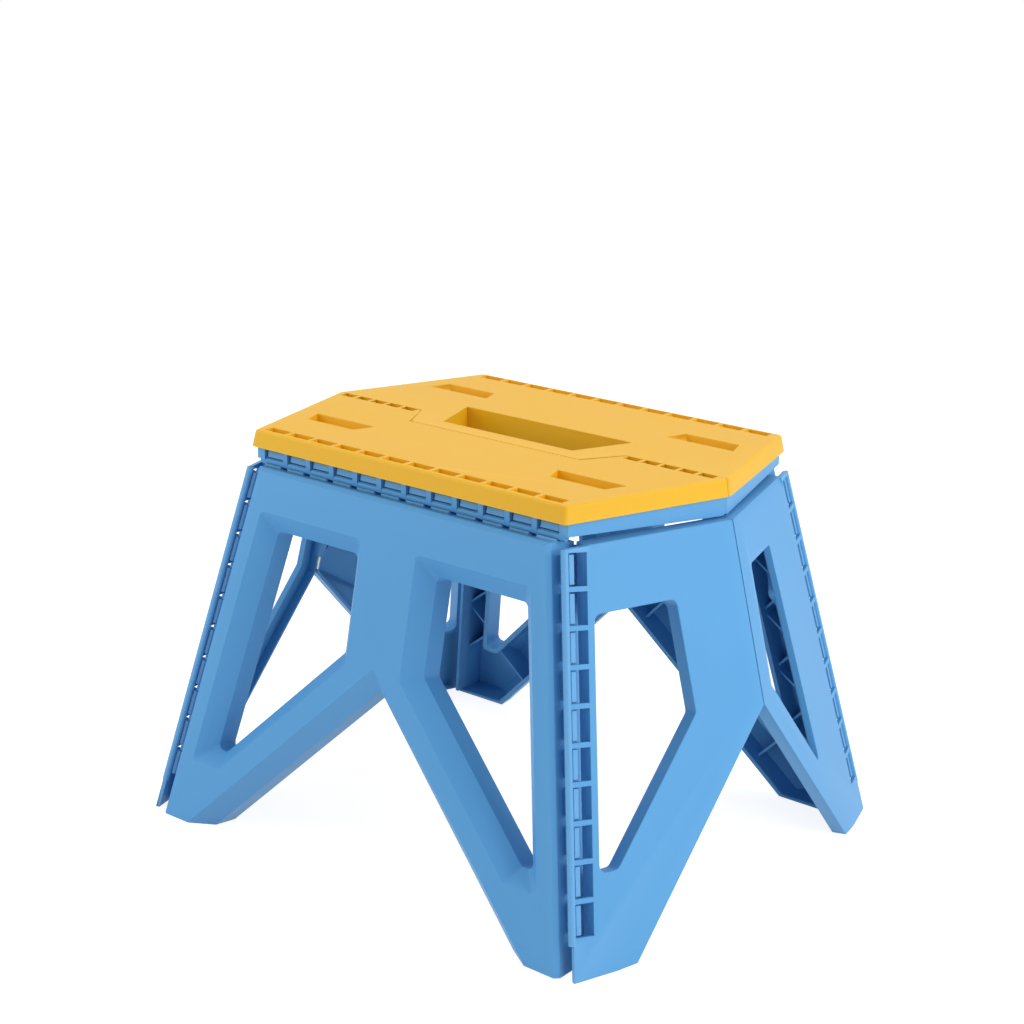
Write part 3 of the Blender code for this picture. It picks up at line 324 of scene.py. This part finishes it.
for node_name, body in (("deck_front", "front_half"), ("deck_rear", "rear_half")):
    cap = copy_moulding(node_name, node_name.replace("deck", "cap"))
    by_rim = outline_test(node_name, CAP_RIM_REACH)
    heights = [vertex.co.z for vertex in cap.data.vertices if by_rim(vertex.co)]
    cap_top = max(heights)
    rim_low = min(heights)

    def upper_edge(point):
        return by_rim(point) and point.z > rim_low + SAME_LEVEL

    def rim_edge(point):
        return by_rim(point) and abs(point.z - rim_low) < SAME_LEVEL

    def by_seam(point):
        if not -SEAM_REACH - SEAM_NEAR < point.y < SEAM_NEAR:
            return False
        taper = (SEAM_BACK_HALF - SEAM_FRONT_HALF) / SEAM_REACH
        flank_gap = abs(point.x) - SEAM_BACK_HALF - point.y * taper
        if abs(flank_gap) < SEAM_NEAR:
            return True
        return abs(point.y + SEAM_REACH) < SEAM_NEAR and flank_gap < 0

    def seam_edge(point):
        return abs(point.z - cap_top) < SAME_LEVEL and by_seam(point)

    def slot_edge(point):
        return abs(point.z - cap_top) < SAME_LEVEL and not by_rim(point) and not by_seam(point)

    round_edges(cap, upper_edge, CAP_EDGE_RADIUS, CAP_EDGE_STEPS)
    round_edges(cap, rim_edge, CAP_RIM_RADIUS, SMALL_STEPS)
    round_edges(cap, seam_edge, SEAM_RADIUS, SMALL_STEPS)
    round_edges(cap, slot_edge, CAP_SLOT_RADIUS, SMALL_STEPS)
    finish_shading(cap)
    cap.data.materials.append(yellow_plastic)
    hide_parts(node_name)
    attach(cap, body)

# Pins and screws
# Zinc-plated steel wire pins in the centre and end folds, and pan-head screws under the caps. They
# keep the frame's own shapes and only get their metal here.
ZINC_DARK = (0.52, 0.53, 0.55)
ZINC_LIGHT = (0.68, 0.69, 0.71)
ZINC_STREAK_SCALE = 600.0
ZINC_SMOOTHEST = 0.30
ZINC_ROUGHEST = 0.45


def zinc_plate(name):
    """Dull zinc with a fine brushed streak."""
    made = bpy.data.materials.new(name)
    made.use_nodes = True
    nodes, links = made.node_tree.nodes, made.node_tree.links
    shader = nodes["Principled BSDF"]
    shader.inputs["Metallic"].default_value = 1.0
    place = nodes.new("ShaderNodeTexCoord")
    streak = nodes.new("ShaderNodeTexNoise")
    streak.inputs["Scale"].default_value = ZINC_STREAK_SCALE
    links.new(place.outputs["Object"], streak.inputs["Vector"])
    tone = nodes.new("ShaderNodeMix")
    tone.data_type = "RGBA"
    tone.inputs["A"].default_value = (*ZINC_DARK, 1.0)
    tone.inputs["B"].default_value = (*ZINC_LIGHT, 1.0)
    links.new(streak.outputs["Fac"], tone.inputs["Factor"])
    links.new(tone.outputs["Result"], shader.inputs["Base Color"])
    polish = nodes.new("ShaderNodeMapRange")
    polish.inputs["To Min"].default_value = ZINC_SMOOTHEST
    polish.inputs["To Max"].default_value = ZINC_ROUGHEST
    links.new(streak.outputs["Fac"], polish.inputs["Value"])
    links.new(polish.outputs["Result"], shader.inputs["Roughness"])
    return made


zinc = zinc_plate("zinc_plate")
for node_name, node in frame["nodes"].items():
    if "pin" in node_name or "screw" in node_name:
        node.data.materials.clear()
        node.data.materials.append(zinc)

# Floor and light
# A pale studio floor and sky that are white to the eye and in reflections. A soft lamp stands high on
# the right, a large one hangs above, and a weaker one stands on the left.
FLOOR_SIZE = 6.0
FLOOR_SINK = 0.0005
FLOOR_BOUNCE = 0.90
FLOOR_ROUGHNESS = 0.9
FLOOR_GLOW = 0.85
FLOOR_SHADE = 0.45
SKY_LIGHT = 0.55
SKY_WHITE = 1.0
LAMP_AIM = (0, 0, 0.15)


def seen_rays(nodes, links):
    """One for rays that show a surface straight, mirrored or through a clear thing."""
    path = nodes.new("ShaderNodeLightPath")
    seen = path.outputs["Is Camera Ray"]
    for kind in ("Is Glossy Ray", "Is Transmission Ray"):
        larger = nodes.new("ShaderNodeMath")
        larger.operation = "MAXIMUM"
        links.new(seen, larger.inputs[0])
        links.new(path.outputs[kind], larger.inputs[1])
        seen = larger.outputs["Value"]
    return seen


bpy.ops.object.select_all(action="DESELECT")
bpy.ops.mesh.primitive_plane_add(size=FLOOR_SIZE, location=(0, 0, -FLOOR_SINK))
floor = bpy.context.active_object
floor.name = "studio_floor"
floor_paint = bpy.data.materials.new("studio_white")
floor_paint.use_nodes = True
paint_nodes, paint_links = floor_paint.node_tree.nodes, floor_paint.node_tree.links
paint_nodes["Principled BSDF"].inputs["Base Color"].default_value = (FLOOR_BOUNCE,) * 3 + (1.0,)
paint_nodes["Principled BSDF"].inputs["Roughness"].default_value = FLOOR_ROUGHNESS
glow = paint_nodes.new("ShaderNodeEmission")
glow.inputs["Strength"].default_value = FLOOR_GLOW
shade = paint_nodes.new("ShaderNodeBsdfDiffuse")
shade.inputs["Color"].default_value = (FLOOR_SHADE,) * 3 + (1.0,)
white = paint_nodes.new("ShaderNodeAddShader")
paint_links.new(glow.outputs["Emission"], white.inputs[0])
paint_links.new(shade.outputs["BSDF"], white.inputs[1])
choose = paint_nodes.new("ShaderNodeMixShader")
paint_links.new(seen_rays(paint_nodes, paint_links), choose.inputs["Fac"])
paint_links.new(paint_nodes["Principled BSDF"].outputs["BSDF"], choose.inputs[1])
paint_links.new(white.outputs["Shader"], choose.inputs[2])
paint_links.new(choose.outputs["Shader"], paint_nodes["Material Output"].inputs["Surface"])
floor.data.materials.append(floor_paint)

world = bpy.data.worlds.new("studio_sky")
bpy.context.scene.world = world
world.use_nodes = True
sky_nodes, sky_links = world.node_tree.nodes, world.node_tree.links
soft_sky = sky_nodes["Background"]
soft_sky.inputs["Color"].default_value = (1.0, 1.0, 1.0, 1.0)
soft_sky.inputs["Strength"].default_value = SKY_LIGHT
white_sky = sky_nodes.new("ShaderNodeBackground")
white_sky.inputs["Color"].default_value = (1.0, 1.0, 1.0, 1.0)
white_sky.inputs["Strength"].default_value = SKY_WHITE
sky_choice = sky_nodes.new("ShaderNodeMixShader")
sky_links.new(seen_rays(sky_nodes, sky_links), sky_choice.inputs["Fac"])
sky_links.new(soft_sky.outputs["Background"], sky_choice.inputs[1])
sky_links.new(white_sky.outputs["Background"], sky_choice.inputs[2])
sky_links.new(sky_choice.outputs["Shader"], sky_nodes["World Output"].inputs["Surface"])


def soft_lamp(name, place, aim, size, power):
    """A square area lamp turned towards a point."""
    bpy.ops.object.light_add(type="AREA", location=place)
    lamp = bpy.context.active_object
    lamp.name = name
    lamp.data.size = size
    lamp.data.energy = power
    lamp.rotation_euler = (Vector(aim) - Vector(place)).to_track_quat("-Z", "Y").to_euler()
    return lamp


soft_lamp("key_lamp", (1.5, 0.0, 0.85), LAMP_AIM, 1.0, 12.5)
soft_lamp("top_lamp", (-0.2, 0.5, 1.9), (0, 0, 0.25), 1.6, 11.5)
soft_lamp("fill_lamp", (-0.9, -0.95, 0.75), LAMP_AIM, 0.9, 5.6)

# Camera
# A long lens a metre and a half away, looking down on the stool's front right corner.
CAMERA_AZIMUTH = math.radians(39.44)
CAMERA_ELEVATION = math.radians(16.53)
CAMERA_ROLL = math.radians(1.14)
CAMERA_DISTANCE = 1.469
CAMERA_SLIDE = (0.0019, -0.1176)
CAMERA_LENS = 72.84
AIM_HEIGHT = 0.100
away = Vector((math.sin(CAMERA_AZIMUTH) * math.cos(CAMERA_ELEVATION),
               -math.cos(CAMERA_AZIMUTH) * math.cos(CAMERA_ELEVATION),
               math.sin(CAMERA_ELEVATION)))
level = Vector((math.cos(CAMERA_AZIMUTH), math.sin(CAMERA_AZIMUTH), 0))
steep = away.cross(level)
right = level * math.cos(CAMERA_ROLL) + steep * math.sin(CAMERA_ROLL)
up = steep * math.cos(CAMERA_ROLL) - level * math.sin(CAMERA_ROLL)
eye = Vector((0, 0, AIM_HEIGHT)) + away * CAMERA_DISTANCE
eye -= right * CAMERA_SLIDE[0] + up * CAMERA_SLIDE[1]
bpy.ops.object.camera_add()
camera = bpy.context.active_object
camera.matrix_world = Matrix.Translation(eye) @ Matrix((right, up, away)).transposed().to_4x4()
camera.data.lens = CAMERA_LENS
bpy.context.scene.camera = camera
bpy.context.scene.view_settings.view_transform = "Standard"
